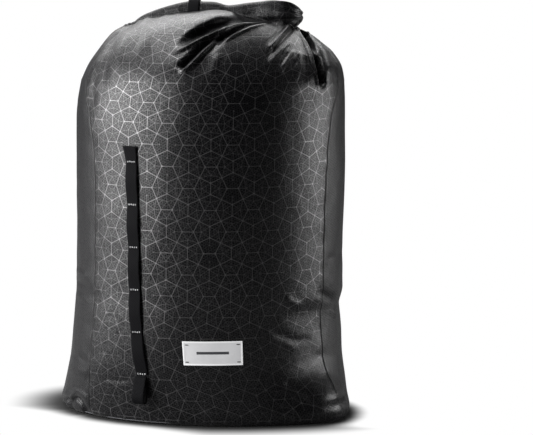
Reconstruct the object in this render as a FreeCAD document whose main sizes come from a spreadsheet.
import FreeCAD, Part
import math, os
from FreeCAD import Vector, Rotation, Placement

# Roll-top compression sack, filled and closed: four cloth panels and a base,
# a rolled collar bent into an open ring, a side-release buckle joining its
# ends, a daisy chain and a label.  Millimetres, +Z up, origin on the floor
# under the middle of the base, front facing -Y, right towards +X.
doc = FreeCAD.newDocument("RollTopSack")
sheet = doc.addObject("Spreadsheet::Sheet", "Sheet")

# ---------------------------------------------------------------- dimensions
# Body sections: height, centre x, centre y, half width, half depth,
# turn about the vertical in degrees.
SECTIONS = [
    (0.0, -6.0, 0.0, 141.0, 116.0, -20.0),
    (10.0, -6.0, 0.0, 146.0, 121.0, -20.0),
    (32.0, -5.0, 0.0, 142.0, 126.0, -12.0),
    (80.0, -3.0, 0.0, 136.0, 128.0, 0.0),
    (200.0, 0.0, 0.0, 133.5, 130.0, 0.0),
    (290.0, 0.5, 0.0, 133.3, 128.0, 0.0),
    (330.0, 3.0, 0.0, 127.0, 113.0, 0.0),
    (356.0, 6.0, 1.0, 112.0, 82.0, -4.0),
    (372.0, 6.0, 2.0, 98.0, 44.0, -8.0),
    (380.0, 5.0, 2.0, 86.0, 10.0, -12.0),
]
SECTION_COLUMNS = [
    ("height", "height of body section"),
    ("shift", "sideways centre"),
    ("back", "fore and aft centre"),
    ("wide", "half width"),
    ("deep", "half depth"),
    ("turn", "turn about vertical, degrees"),
]
# Per section: cloth thickness measured level (more where the cloth slopes),
# and the bearing of the front right seam; the other seams mirror it.
CLOTH_INSETS = [1.6, 1.6, 1.6, 1.6, 1.6, 1.6, 1.9, 2.8, 4.2, 1.8]
SEAM_BEARINGS = [57.5, 57.5, 57.5, 57.5, 57.5, 57.5, 57.5, 56.0, 50.0, 42.0]

# alias, value, note
DIMENSIONS = [
    ("fabric", 1.6, "coated fabric with its lining, modelled thickness"),
    ("seam_gap", 1.3, "gap between neighbouring panels"),
    ("tape_inset_outer", 2.0, "inner seam tape, outer face"),
    ("tape_inset_inner", 2.6, "inner seam tape, inner face"),
    ("tape_half", 5.0, "half width of an inner seam tape"),
    ("tape_top", 322.0, "upper end of the seam tapes"),
    ("ring_x", 4.0, "closure ring position, sideways"),
    ("ring_y", 2.0, "closure ring position, fore and aft"),
    ("ring_z", 396.0, "closure ring height"),
    ("ring_yaw", -12.0, "turn of the closure about vertical"),
    ("ring_tilt", -10.0, "droop of the rear of the closure"),
    ("roll_thick", 12.0, "thickness of the rolled cloth"),
    ("roll_tall", 24.0, "height of the rolled cloth"),
    ("roll_round", 5.4, "edge rounding of the roll"),
    ("front_half", 78.0, "half length of the straight front of the roll"),
    ("corner_radius", 16.0, "centre line radius of the roll corners"),
    ("corner_turn", 125.0, "turn of each corner, degrees"),
    ("side_length", 62.0, "straight side behind each corner"),
    ("core_thick", 2.0, "stiffener strip thickness"),
    ("core_tall", 17.0, "stiffener strip height"),
    ("core_slot_thick", 3.0, "stiffener slot thickness"),
    ("core_slot_tall", 18.0, "stiffener slot height"),
    ("neck_half", 69.0, "half length of the neck band"),
    ("neck_thick", 6.0, "neck band thickness"),
    ("neck_top", 381.2, "height of the top of the neck band"),
    ("neck_tall", 9.0, "neck band height"),
    ("keeper_along", -19.5, "keeper position along the roll"),
    ("keeper_wide", 11.5, "keeper width"),
    ("webbing", 1.6, "webbing thickness"),
    ("strap_tall", 25.0, "closure strap width"),
    ("buckle_tall", 33.0, "buckle height"),
    ("buckle_thick", 11.0, "buckle thickness"),
    ("window_tall", 26.0, "height of the strap windows"),
    ("cavity_thick", 7.2, "thickness of the socket cavity"),
    ("prong_thick", 6.0, "prong thickness"),
    ("guide_tall", 6.0, "thickness of the middle guide"),
    ("daisy_x", -72.0, "front left, on the cloth"),
    ("daisy_turn", 146.8, "turn that faces the webbing outwards"),
    ("daisy_wide", 15.0, "daisy chain webbing width"),
    ("daisy_thick", 1.4, "daisy chain webbing thickness"),
    ("daisy_pitch", 41.5, "spacing of the bar tacks"),
    ("daisy_low", 51.1, "height of the lowest bar tack"),
    ("daisy_arch", 2.6, "how far the webbing stands off between tacks"),
    ("label_left", -27.0, "left edge of the label"),
    ("label_wide", 58.0, "label width"),
    ("label_low", 62.0, "bottom edge of the label"),
    ("label_tall", 23.5, "label height"),
    ("label_gap", 0.3, "gap between cloth and label"),
    ("label_thick", 0.8, "label thickness"),
]


def fill_sheet():
    """Write every dimension to the sheet; return the values by alias."""
    rows = [("section%d_%s" % (i, column), value, note)
            for i, section in enumerate(SECTIONS)
            for (column, note), value in zip(SECTION_COLUMNS, section)]
    rows += DIMENSIONS
    for row, (alias, value, note) in enumerate(rows, 1):
        sheet.set("A%d" % row, alias)
        sheet.set("B%d" % row, str(value))
        sheet.set("C%d" % row, note)
        sheet.setAlias("B%d" % row, alias)
    return {alias: value for alias, value, note in rows}


DIM = fill_sheet()
doc.recompute()

PIECES = []     # the objects that are exported, each under its Label


# ------------------------------------------------------------ document helpers
def piece(obj):
    PIECES.append(obj)
    return obj


def feature(kind, name, **properties):
    obj = doc.addObject(kind, name)
    for key, value in properties.items():
        setattr(obj, key, value)
    return obj


def box(name, corner, size):
    return feature("Part::Box", name, Length=size[0], Width=size[1], Height=size[2],
                   Placement=Placement(Vector(*corner), Rotation()))


def common(name, base, tool):
    return feature("Part::Common", name, Base=base, Tool=tool)


def make_body(name, placement):
    return piece(feature("PartDesign::Body", name, Placement=placement))


def add_sketch(body, name, curves, plane="XY", offset=0.0):
    sketch = body.newObject("Sketcher::SketchObject", name)
    support = next(o for o in body.Origin.OriginFeatures if o.Role == plane + "_Plane")
    sketch.AttachmentSupport = (support, [""])
    sketch.MapMode = "FlatFace"
    sketch.AttachmentOffset = Placement(Vector(0, 0, offset), Rotation())
    sketch.addGeometry(curves, False)
    return sketch


# Outlines are lists of ("line", start, end) and
# ("arc", centre, radius, start angle, end angle), angles in radians.
def polygon(points):
    return [("line", a, b) for a, b in zip(points, points[1:] + points[:1])]


def rectangle(x0, y0, x1, y1):
    return polygon([(x0, y0), (x1, y0), (x1, y1), (x0, y1)])


def circle(centre, radius):
    return [("circle", centre, radius)]


def flip(point):
    return (-point[0], point[1])


def mirrored(outline):
    """Mirror left to right, swapping the ends of the lines."""
    result = []
    for item in outline:
        if item[0] == "line":
            result.append(("line", flip(item[2]), flip(item[1])))
        else:
            _, centre, radius, start, end = item
            result.append(("arc", flip(centre), radius, math.pi - end, math.pi - start))
    return result


def to_curve(item):
    if item[0] == "line":
        return Part.LineSegment(Vector(*item[1], 0), Vector(*item[2], 0))
    full_circle = Part.Circle(Vector(*item[1], 0), Vector(0, 0, 1), item[2])
    if item[0] == "circle":
        return full_circle
    return Part.ArcOfCircle(full_circle, item[3], item[4])


def extrude(kind, body, name, outline, size, plane, offset, symmetric, reverse):
    """Sketch an outline and pad or pocket it; size is a length or an alias."""
    sketch = add_sketch(body, name, [to_curve(item) for item in outline], plane, offset)
    result = body.newObject("PartDesign::" + kind, "%s_%s" % (name, kind.lower()))
    result.Profile = sketch
    result.Length = DIM.get(size, size)
    if symmetric:
        # guards against a version without the SideType property
        try:
            result.SideType = "Symmetric"
        except Exception:
            result.Midplane = True
    result.Reversed = reverse
    if size in DIM:
        result.setExpression("Length", "Sheet." + size)
    body.Tip = result
    return result


def pad(body, name, outline, size, plane="XY", offset=0.0, symmetric=True, reverse=False):
    return extrude("Pad", body, name, outline, size, plane, offset, symmetric, reverse)


def pocket(body, name, outline, size, offset=0.0, symmetric=True, reverse=False):
    return extrude("Pocket", body, name, outline, size, "XY", offset, symmetric, reverse)


# ---------------------------------------------------------------- cloth strips
# Bearings run round the bag in degrees from the front (0) to the right (90).
STRIP_POINTS = 9


def rim_point(section, bearing, inset):
    """Point of a section at a bearing, moved inwards by inset."""
    _, centre_x, centre_y, half_wide, half_deep, turn = section
    turn = math.radians(turn)
    angle = math.radians(bearing) - turn
    x = (half_wide - inset) * math.sin(angle)
    y = -(half_deep - inset) * math.cos(angle)
    return (centre_x + x * math.cos(turn) - y * math.sin(turn),
            centre_y + x * math.sin(turn) + y * math.cos(turn))


def spline(points):
    curve = Part.BSplineCurve()
    curve.interpolate([Vector(*p, 0) for p in points])
    return curve


def strip(name, spans, outer_insets, inner_insets):
    """Loft of curved strips; one (start, end) bearing and two insets a section."""
    body = feature("PartDesign::Body", name)
    sketches = []
    for i, section in enumerate(SECTIONS):
        start, end = spans[i]
        bearings = [start + (end - start) * k / (STRIP_POINTS - 1) for k in range(STRIP_POINTS)]
        outer = [rim_point(section, bearing, outer_insets[i]) for bearing in bearings]
        inner = [rim_point(section, bearing, inner_insets[i]) for bearing in bearings]
        curves = [spline(outer), to_curve(("line", outer[-1], inner[-1])),
                  spline(inner[::-1]), to_curve(("line", inner[0], outer[0]))]
        sketch = add_sketch(body, "%s_section_%d" % (name, i), curves, offset=section[0])
        sketch.setExpression("AttachmentOffset.Base.z", "Sheet.section%d_height" % i)
        sketches.append(sketch)
    loft = body.newObject("PartDesign::AdditiveLoft", name + "_loft")
    loft.Profile = sketches[0]
    loft.Sections = sketches[1:]
    loft.Ruled = False
    body.Tip = loft
    return body


def uniform(value):
    return [value] * len(SECTIONS)


def seam_bearing(i, seam):
    """A seam is (bearing it is measured from, direction)."""
    return seam[0] + seam[1] * SEAM_BEARINGS[i]


def arc_degrees(i, length):
    half_wide, half_deep = SECTIONS[i][3:5]
    return math.degrees(length / (0.5 * (half_wide + half_deep)))


# name, seam at the start, seam at the end
PANELS = [
    ("front_panel", (0, -1), (0, 1)),
    ("right_side_panel", (0, 1), (180, -1)),
    ("back_panel", (180, -1), (180, 1)),
    ("left_side_panel", (180, 1), (360, -1)),
]
SEAMS = [
    ("front_right", (0, 1)),
    ("back_right", (180, -1)),
    ("back_left", (180, 1)),
    ("front_left", (360, -1)),
]
TAPE_BOTTOM = 4.0


def panels():
    """The four upright panels; returns the front one."""
    built = []
    for name, start, end in PANELS:
        spans = []
        for i in range(len(SECTIONS)):
            gap = arc_degrees(i, DIM["seam_gap"] / 2)
            spans.append((seam_bearing(i, start) + gap, seam_bearing(i, end) - gap))
        built.append(piece(strip(name, spans, uniform(0.0), CLOTH_INSETS)))
    return built[0]


def oval_slab(name, inset, z, height):
    """Upright slab on the oval of the lowest section, shrunk by inset."""
    _, centre_x, centre_y, _, _, turn = SECTIONS[0]
    place = Placement(Vector(centre_x, centre_y, z), Rotation(Vector(0, 0, 1), turn))
    oval = feature("Part::Ellipse", name + "_outline", Placement=place)
    oval.setExpression("MajorRadius", "Sheet.section0_wide - %g" % inset)
    oval.setExpression("MinorRadius", "Sheet.section0_deep - %g" % inset)
    return feature("Part::Extrusion", name, Base=oval, DirMode="Custom",
                   Dir=Vector(0, 0, 1), LengthFwd=height, Solid=True)


def base_panel():
    """Oval of the same cloth inside the foot of the four panels."""
    base = piece(oval_slab("base_panel", inset=2.1, z=0.0, height=DIM["fabric"]))
    base.setExpression("LengthFwd", "Sheet.fabric")


def base_seam_tape():
    """Flat oval ring just above the base."""
    outer = oval_slab("base_tape_outer", inset=4.0, z=2.0, height=0.6)
    inner = oval_slab("base_tape_inner", inset=14.0, z=1.5, height=2.0)
    piece(feature("Part::Cut", "base_seam_tape", Base=outer, Tool=inner))


def seam_tapes():
    """Tapes up the four upright seams, on the inside of the cloth."""
    outer = [inset + DIM["tape_inset_outer"] - DIM["fabric"] for inset in CLOTH_INSETS]
    inner = [inset + DIM["tape_inset_inner"] - DIM["fabric"] for inset in CLOTH_INSETS]
    for name, seam in SEAMS:
        spans = []
        for i in range(len(SECTIONS)):
            middle, half = seam_bearing(i, seam), arc_degrees(i, DIM["tape_half"])
            spans.append((middle - half, middle + half))
        raw = strip("raw_tape_" + name, spans, outer, inner)
        limits = box("tape_limits_" + name, (-200, -200, TAPE_BOTTOM),
                     (400, 400, DIM["tape_top"] - TAPE_BOTTOM))
        limits.setExpression("Height", "Sheet.tape_top - %g" % TAPE_BOTTOM)
        piece(common("seam_tape_" + name, raw, limits))


# ---------------------------------------------------------------- closure ring
# Ring frame: X along the roll to the right, Y backwards, Z up the roll.
YAW = Rotation(Vector(0, 0, 1), DIM["ring_yaw"])
RING = Placement(Vector(DIM["ring_x"], DIM["ring_y"], DIM["ring_z"]),
                 YAW * Rotation(Vector(1, 0, 0), DIM["ring_tilt"]))
FRONT_HALF = DIM["front_half"]
CORNER_RADIUS = DIM["corner_radius"]
CORNER = (FRONT_HALF, CORNER_RADIUS)                # centre of the right corner
TURN = math.radians(DIM["corner_turn"])
CORNER_END = TURN - math.pi / 2                     # end angle of the right corner
SIDE_DIR = (math.cos(TURN), math.sin(TURN))         # right side, heading backwards
SIDE_OUT = (math.sin(TURN), -math.cos(TURN))        # outward from the right side
WEBBING = DIM["webbing"]
KEEPER_CLEARANCE = 0.25
SLOT_HALF = 1.2             # half thickness of the strap slots in the roll ends
SLOT_DEPTH = 14.5           # how far they reach in from the ends
NECK_SHIFT = 1              # neck band, right of the ring centre


def polar(centre, radius, angle):
    return (centre[0] + radius * math.cos(angle), centre[1] + radius * math.sin(angle))


def side_point(origin, along, outward):
    """Point measured from origin along and outward from the right side."""
    return (origin[0] + along * SIDE_DIR[0] + outward * SIDE_OUT[0],
            origin[1] + along * SIDE_DIR[1] + outward * SIDE_OUT[1])


# centre line end of the right side
SIDE_END = side_point(polar(CORNER, CORNER_RADIUS, CORNER_END), DIM["side_length"], 0)


def ring_body(name):
    body = make_body(name, RING)
    for axis in "xyz":
        body.setExpression("Placement.Base." + axis, "Sheet.ring_" + axis)
    return body


def ring_outline(half, cut_back=0.0):
    """Open ring seen from above, half to each side of the centre line."""
    outer_radius, inner_radius = CORNER_RADIUS + half, CORNER_RADIUS - half
    outer_corner = polar(CORNER, outer_radius, CORNER_END)
    inner_corner = polar(CORNER, inner_radius, CORNER_END)
    outer_end = side_point(SIDE_END, -cut_back, half)
    inner_end = side_point(SIDE_END, -cut_back, -half)
    right = [
        ("arc", CORNER, outer_radius, -math.pi / 2, CORNER_END),
        ("line", outer_corner, outer_end),
        ("line", outer_end, inner_end),
        ("line", inner_end, inner_corner),
        ("arc", CORNER, inner_radius, -math.pi / 2, CORNER_END),
    ]
    front = ("line", (-FRONT_HALF, -half), (FRONT_HALF, -half))
    rear = ("line", (FRONT_HALF, half), (-FRONT_HALF, half))
    return [front] + right + [rear] + mirrored(right)[::-1]


def collar_round_edges(shape):
    """Names of the top and bottom edges, except those of the two cut ends."""
    half_tall = DIM["roll_tall"] / 2
    names = []
    for i, edge in enumerate(shape.Edges, 1):
        heights = [vertex.Point.z for vertex in edge.Vertexes]
        level = all(abs(abs(z) - half_tall) < 1e-6 for z in heights)
        if level and heights[0] * heights[-1] > 0:
            middle = edge.CenterOfMass
            from_end = min((middle - Vector(*end, middle.z)).Length
                           for end in (SIDE_END, flip(SIDE_END)))
            if from_end > 2.0:
                names.append("Edge%d" % i)
    return names


def rolled_collar():
    """The rolled mouth cloth, bent round into an open ring."""
    body = ring_body("rolled_collar")
    roll = pad(body, "collar_plan", ring_outline(DIM["roll_thick"] / 2), "roll_tall")
    doc.recompute()
    edges = collar_round_edges(roll.Shape.copy())
    fillet = body.newObject("PartDesign::Fillet", "collar_round")
    fillet.Base = (roll, edges)
    fillet.Radius = DIM["roll_round"]
    fillet.setExpression("Radius", "Sheet.roll_round")
    body.Tip = fillet
    doc.recompute()
    pocket(body, "collar_core_slot", ring_outline(DIM["core_slot_thick"] / 2), "core_slot_tall")
    # each end is split over its full height: two flaps that hold the strap
    slot = [side_point(SIDE_END, along, outward) for along, outward in
            ((2.0, SLOT_HALF), (2.0, -SLOT_HALF), (-SLOT_DEPTH, -SLOT_HALF),
             (-SLOT_DEPTH, SLOT_HALF))]
    pocket(body, "collar_strap_slots", polygon(slot) + polygon([flip(p) for p in slot]), 60)


def rim_stiffener():
    """Strip inside the roll, stopping short of the strap slots."""
    outline = ring_outline(DIM["core_thick"] / 2, cut_back=16.0)
    pad(ring_body("rim_stiffener"), "stiffener_plan", outline, "core_tall")


def upright_slot(half_thick, half_tall):
    """Tall outline with round ends."""
    straight = half_tall - half_thick
    return [
        ("line", (half_thick, -straight), (half_thick, straight)),
        ("arc", (0, straight), half_thick, 0, math.pi),
        ("line", (-half_thick, straight), (-half_thick, -straight)),
        ("arc", (0, -straight), half_thick, math.pi, 2 * math.pi),
    ]


def roll_keeper_loop():
    """Loop sewn round the roll."""
    half_thick = DIM["roll_thick"] / 2 + KEEPER_CLEARANCE
    half_tall = DIM["roll_tall"] / 2 + KEEPER_CLEARANCE
    outline = upright_slot(half_thick + WEBBING, half_tall + WEBBING)
    outline += upright_slot(half_thick, half_tall)
    pad(ring_body("roll_keeper_loop"), "keeper_section", outline, "keeper_wide",
        plane="YZ", offset=DIM["keeper_along"])


def collar_neck():
    """The gathered top of the bag just under the roll."""
    place = Placement(Vector(DIM["ring_x"] + NECK_SHIFT, DIM["ring_y"], DIM["neck_top"]), YAW)
    radius = DIM["neck_thick"] / 2
    straight = DIM["neck_half"] - radius
    outline = [
        ("line", (-straight, -radius), (straight, -radius)),
        ("arc", (straight, 0), radius, -math.pi / 2, math.pi / 2),
        ("line", (straight, radius), (-straight, radius)),
        ("arc", (-straight, 0), radius, math.pi / 2, 3 * math.pi / 2),
    ]
    pad(make_body("collar_neck", place), "neck_plan", outline, "neck_tall",
        symmetric=False, reverse=True)


# -------------------------------------------------------------- closure straps
# The straps come out of the roll ends and bend round to the buckle, which
# lies across the back of the ring.
BEND_RADIUS = 10.0
BEND = side_point(SIDE_END, 0, -BEND_RADIUS)    # centre of the right bend
BUCKLE_Y = BEND[1] + BEND_RADIUS                # depth of the buckle centre line
STRAP_TAIL = 13             # length of strap held in the roll end
BAR_HALF = 1.8              # half thickness of the buckle bars
BAR_CLEARANCE = 0.3
EYE_TAPER = 6.0
# near and far edge of each buckle bar, as distances from the ring's middle
SOCKET_BAR = (23, 27)       # on the right
PLUG_BAR = (27, 31)         # on the left


def strap_outline(bar):
    """Right strap seen from above: tail, bend, run to the bar, eye round it."""
    half = WEBBING / 2
    tail_outer = side_point(SIDE_END, -STRAP_TAIL, half)
    tail_inner = side_point(SIDE_END, -STRAP_TAIL, -half)
    outer_radius, inner_radius = BEND_RADIUS + half, BEND_RADIUS - half
    bend_outer = polar(BEND, outer_radius, CORNER_END)
    bend_inner = polar(BEND, inner_radius, CORNER_END)
    near = bar[0] - BAR_CLEARANCE - WEBBING
    far = bar[1] + BAR_CLEARANCE + WEBBING
    eye_half = BAR_HALF + BAR_CLEARANCE + WEBBING
    rear, front = BUCKLE_Y + eye_half, BUCKLE_Y - eye_half
    run_rear, run_front = BUCKLE_Y + half, BUCKLE_Y - half
    eye_end = far + EYE_TAPER
    hole_near, hole_far = near + WEBBING, far - WEBBING
    hole_rear, hole_front = rear - WEBBING, front + WEBBING
    return [
        ("line", tail_outer, bend_outer),
        ("arc", BEND, outer_radius, CORNER_END, math.pi / 2),
        ("line", (BEND[0], run_rear), (eye_end, run_rear)),
        ("line", (eye_end, run_rear), (far, rear)),
        ("line", (far, rear), (near, rear)),
        ("line", (near, rear), (near, front)),
        ("line", (near, front), (far, front)),
        ("line", (far, front), (eye_end, run_front)),
        ("line", (eye_end, run_front), (BEND[0], run_front)),
        ("arc", BEND, inner_radius, CORNER_END, math.pi / 2),
        ("line", bend_inner, tail_inner),
        ("line", tail_inner, tail_outer),
    ] + polygon([(hole_near, hole_front), (hole_far, hole_front),
                 (hole_far, hole_rear), (hole_near, hole_rear)])


def closure_straps():
    pad(ring_body("right_closure_strap"), "right_strap_plan",
        strap_outline(SOCKET_BAR), "strap_tall")
    pad(ring_body("left_closure_strap"), "left_strap_plan",
        mirrored(strap_outline(PLUG_BAR)), "strap_tall")


# ---------------------------------------------------------------------- buckle
# Drawn in elevation and extruded about the mid plane.
# Buckle frame: X along the roll, Y up the roll, Z towards the front.
BUCKLE = RING * Placement(Vector(0, BUCKLE_Y, 0), Rotation(Vector(1, 0, 0), 90))
BUCKLE_HALF = DIM["buckle_tall"] / 2
WINDOW_HALF = DIM["window_tall"] / 2
PIVOT = (-14, 10)           # upper prong pivot; the lower one mirrors it
THROUGH = 30                # cuts right through the thickness
UP_DOWN = (1, -1)


def bar_reliefs(body, name, x0, x1):
    """Thin the bar so the webbing lies in the thickness of the frame."""
    outline = rectangle(x0, -WINDOW_HALF, x1, WINDOW_HALF)
    pocket(body, name + "_a", outline, 10, offset=BAR_HALF, symmetric=False, reverse=True)
    pocket(body, name + "_b", outline, 10, offset=-BAR_HALF, symmetric=False)


def buckle_socket():
    body = make_body("buckle_socket", BUCKLE)
    top, bar_end = BUCKLE_HALF, SOCKET_BAR[1]
    pad(body, "socket_outline", polygon([
        (-5, -top), (8.5, -top), (12, -top + 1.2), (bar_end, -top + 0.6),
        (bar_end, top - 0.6), (12, top - 1.2), (8.5, top), (-5, top)]), "buckle_thick")
    pocket(body, "socket_window",
           rectangle(17.5, -WINDOW_HALF, SOCKET_BAR[0], WINDOW_HALF), THROUGH)
    pocket(body, "socket_cavity", rectangle(-6, -14.5, 13.5, 14.5), "cavity_thick")
    pocket(body, "socket_side_openings",
           rectangle(-3, 12, 8, 20) + rectangle(-3, -20, 8, -12), "cavity_thick")
    # V notches in both faces, top and bottom, that bare the prongs
    notches = []
    for side in UP_DOWN:
        notches += polygon([(x, side * y) for x, y in
                            ((-3, 13.5), (2.5, 8.5), (8, 13.5), (8, 20), (-3, 20))])
    pocket(body, "socket_notches", notches, THROUGH)
    bar_reliefs(body, "socket_bar_relief", 21, 30)


def pivot_circles(radius, sides):
    return [item for side in sides for item in circle((PIVOT[0], side * PIVOT[1]), radius)]


def buckle_plug():
    body = make_body("buckle_plug", BUCKLE)
    top, bar_end = BUCKLE_HALF, -PLUG_BAR[1]
    pad(body, "plug_outline", polygon([
        (bar_end, -top + 0.6), (-15.5, -top + 1.6), (-9, -top), (-5.4, -top),
        (-5.4, top), (-9, top), (-15.5, top - 1.6), (bar_end, top - 0.6)]), "buckle_thick")
    pad(body, "plug_guide", polygon([(-8, -3), (12, -2.4), (12, 2.4), (-8, 3)]), "guide_tall")
    pocket(body, "plug_window",
           rectangle(-PLUG_BAR[0], -WINDOW_HALF, -21.5, WINDOW_HALF), THROUGH)
    pocket(body, "plug_prong_slots",
           rectangle(-17.5, 3.8, -4, 14.6) + rectangle(-17.5, -14.6, -4, -3.8), 6.4)
    bar_reliefs(body, "plug_bar_relief", -34, -25)
    pad(body, "plug_pins", pivot_circles(1.0, UP_DOWN), 9)


def buckle_prong(name, side):
    """Prong on a round knuckle; side is 1 for the upper, -1 for the lower."""
    body = make_body(name, BUCKLE)
    points = [(-12.2, 11.6), (-2.4, 12.2), (-2.4, 16.3), (3.2, 16.3), (7.6, 12.6),
              (8.6, 9.4), (6.0, 8.2), (-4.0, 8.4), (-12.2, 8.4)]
    pad(body, name + "_outline", polygon([(x, side * y) for x, y in points]), "prong_thick")
    pad(body, name + "_knuckle", pivot_circles(2.5, [side]), "prong_thick")
    pocket(body, name + "_eye", pivot_circles(1.15, [side]), THROUGH)


# ----------------------------------------------------------------- daisy chain
# Daisy frame: X across the webbing, Y outwards from the cloth, Z up.
DAISY_ANGLE = math.radians(DIM["daisy_turn"])
DAISY_OUT = (-math.sin(DAISY_ANGLE), math.cos(DAISY_ANGLE))
PROBE_REACH = 60.0          # distance of the probing point, well outside
FIRST_Y, FIRST_Z = -107.0, 175.0    # first guess at the cloth, and its height
DAISY_HALF = DIM["daisy_thick"] / 2
CLOTH_CLEARANCE = 1.0
TACKS = [DIM["daisy_low"] + i * DIM["daisy_pitch"] for i in range(6)]
ARCH_STEPS = 8              # points from one tack to the next
TAIL_TALL = 14              # webbing above the top tack
TACK_LONG, TACK_THICK, TACK_TALL = 11, 0.7, 2.0
TACK_GAP = 0.15             # between webbing and stitches
# End loop centre line: outwards from the clearance line, height from its top.
LOOP = [
    (2.0, 0), (3.4, -0.8), (4.3, -3), (5.6, -7), (7.4, -12), (8.9, -17),
    (9.6, -21), (9.0, -24.6), (7.2, -27.2), (4.6, -28.2), (2.4, -27.4),
    (1.1, -25), (0.75, -21), (0.75, -15), (0.75, -9), (0.75, -3), (1.0, -0.9),
]
LOOP_DROP = 3.0             # top of the loop below the lowest tack


def cloth_distance(cloth, y, z):
    """How far the cloth lies outwards of (daisy_x, y, z)."""
    probe = Vector(DIM["daisy_x"] + DAISY_OUT[0] * PROBE_REACH,
                   y + DAISY_OUT[1] * PROBE_REACH, z)
    return PROBE_REACH - cloth.distToShape(Part.Vertex(probe))[0]


def offset_path(points, distance, closed):
    """Move each point sideways, square to the line through its neighbours."""
    result = []
    last = len(points) - 1
    for i, point in enumerate(points):
        before = points[i - 1] if closed or i > 0 else point
        after = points[(i + 1) % len(points)] if closed or i < last else point
        across, up = after[0] - before[0], after[1] - before[1]
        length = math.hypot(across, up)
        result.append((point[0] + distance * up / length,
                       point[1] - distance * across / length))
    return result


def daisy_webbing(frame, offsets, top_offset):
    """Webbing that touches down at each tack and arches out between them."""
    stand = CLOTH_CLEARANCE + DAISY_HALF
    centre = []
    for i in range(5):
        for k in range(ARCH_STEPS):
            f = k / ARCH_STEPS
            z = TACKS[i] + f * (TACKS[i + 1] - TACKS[i])
            cloth_offset = offsets[i] * (1 - f) + offsets[i + 1] * f
            arch = DIM["daisy_arch"] * math.sin(math.pi * f) ** 2
            centre.append((cloth_offset + stand + arch, z))
    tail = max(top_offset, offsets[5]) + stand
    centre += [(offsets[5] + stand, TACKS[5]),
               (tail + 0.4, TACKS[5] + TAIL_TALL / 2),
               (tail + 1.4, TACKS[5] + TAIL_TALL)]
    ribbon = offset_path(centre, DAISY_HALF, closed=False)
    ribbon += offset_path(centre, -DAISY_HALF, closed=False)[::-1]
    pad(make_body("daisy_chain_webbing", frame), "daisy_section", polygon(ribbon),
        "daisy_wide", plane="YZ")


def daisy_tacks(frame, offsets):
    """Stitch rows on the outer face: five upper ones together, the lowest apart."""
    faces = [offset + CLOTH_CLEARANCE + 2 * DAISY_HALF + TACK_GAP for offset in offsets]
    upper = []
    for i in range(1, 6):
        tack = box("tack_%d" % i, (0, 0, 0), (TACK_LONG, TACK_THICK, TACK_TALL))
        corner = Vector(-TACK_LONG / 2, faces[i], TACKS[i] - TACK_TALL / 2)
        tack.Placement = frame * Placement(corner, Rotation())
        upper.append(tack)
    piece(feature("Part::Compound", "daisy_bar_tacks", Links=upper))

    outline = rectangle(faces[0], TACKS[0] - TACK_TALL / 2,
                        faces[0] + TACK_THICK, TACKS[0] + TACK_TALL / 2)
    pad(make_body("daisy_anchor_tack", frame), "anchor_tack_section", outline,
        TACK_LONG, plane="YZ")


def daisy_end_loop(frame, low_offset):
    """Free teardrop of the same webbing under the lowest tack."""
    near, top = low_offset + CLOTH_CLEARANCE, TACKS[0] - LOOP_DROP
    centre = [(near + out, top + z) for out, z in LOOP]
    outline = polygon(offset_path(centre, DAISY_HALF, closed=True))
    outline += polygon(offset_path(centre, -DAISY_HALF, closed=True))
    pad(make_body("daisy_end_loop", frame), "end_loop_section", outline,
        "daisy_wide", plane="YZ")


def daisy_chain(cloth):
    """Place the chain on the front cloth and build its parts."""
    y = FIRST_Y + cloth_distance(cloth, FIRST_Y, FIRST_Z) * DAISY_OUT[1]
    frame = Placement(Vector(DIM["daisy_x"], y, 0),
                      Rotation(Vector(0, 0, 1), DIM["daisy_turn"]))
    offsets = [cloth_distance(cloth, y, z) for z in TACKS]
    top_offset = cloth_distance(cloth, y, TACKS[-1] + TAIL_TALL)
    low_offset = max(cloth_distance(cloth, y, TACKS[0] - drop) for drop in (4, 12, 20, 28))
    daisy_webbing(frame, offsets, top_offset)
    daisy_tacks(frame, offsets)
    daisy_end_loop(frame, low_offset)


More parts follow.
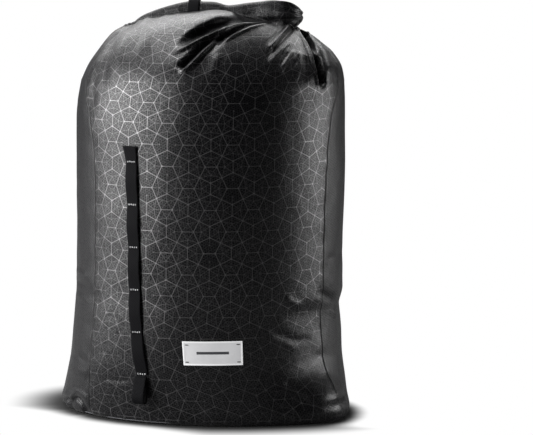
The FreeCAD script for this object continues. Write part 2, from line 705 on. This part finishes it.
# ----------------------------------------------------------------------- label
LABEL_SPAN = (-16.0, 20.0)          # bearings, a little wider than the label
FRONT_Y, FRONT_DEPTH = -160, 80     # boxes that take in only the front
LABEL_FACE = DIM["label_gap"] + DIM["label_thick"]
STITCH_WIDE, STITCH_TALL = 4.5, 1.1
STITCH_INSET = 2.5                  # from the label's left and right edges
STITCH_HEIGHTS = (64.0, 82.2)


def label_patch():
    raw = strip("raw_label", uniform(LABEL_SPAN), uniform(-LABEL_FACE),
                uniform(-DIM["label_gap"]))
    limits = box("label_limits", (DIM["label_left"], FRONT_Y, DIM["label_low"]),
                 (DIM["label_wide"], FRONT_DEPTH, DIM["label_tall"]))
    limits.setExpression("Placement.Base.x", "Sheet.label_left")
    limits.setExpression("Placement.Base.z", "Sheet.label_low")
    limits.setExpression("Length", "Sheet.label_wide")
    limits.setExpression("Height", "Sheet.label_tall")
    piece(common("label_patch", raw, limits))


def label_stitches():
    """Four corner stitches that hold the label."""
    raw = strip("raw_stitches", uniform(LABEL_SPAN), uniform(-(LABEL_FACE + 0.65)),
                uniform(-(LABEL_FACE + 0.1)))
    left = DIM["label_left"] + STITCH_INSET
    right = DIM["label_left"] + DIM["label_wide"] - STITCH_INSET - STITCH_WIDE
    boxes = [box("stitch_box", (x, FRONT_Y, z), (STITCH_WIDE, FRONT_DEPTH, STITCH_TALL))
             for z in STITCH_HEIGHTS for x in (left, right)]
    piece(common("label_stitches", raw,
                 feature("Part::MultiFuse", "stitch_boxes", Shapes=boxes)))


# ------------------------------------------------------------ build and export
def export_pieces():
    failed = [(o.Name, o.State) for o in doc.Objects
              if "Invalid" in o.State or "Error" in o.State]
    if failed:
        raise RuntimeError("objects failed: %s" % failed)
    os.makedirs("parts", exist_ok=True)
    for obj in PIECES:
        shape = obj.Shape
        if shape.isNull() or not shape.isValid():
            raise RuntimeError("bad shape: " + obj.Label)
        shape.exportStep("parts/%s.step" % obj.Label)


front_panel = panels()
base_panel()
base_seam_tape()
seam_tapes()
rolled_collar()
rim_stiffener()
roll_keeper_loop()
collar_neck()
closure_straps()
buckle_socket()
buckle_plug()
buckle_prong("buckle_prong_upper", 1)
buckle_prong("buckle_prong_lower", -1)
doc.recompute()     # the daisy chain is laid on the finished front panel
daisy_chain(front_panel.Shape)
label_patch()
label_stitches()
doc.recompute()
export_pieces()
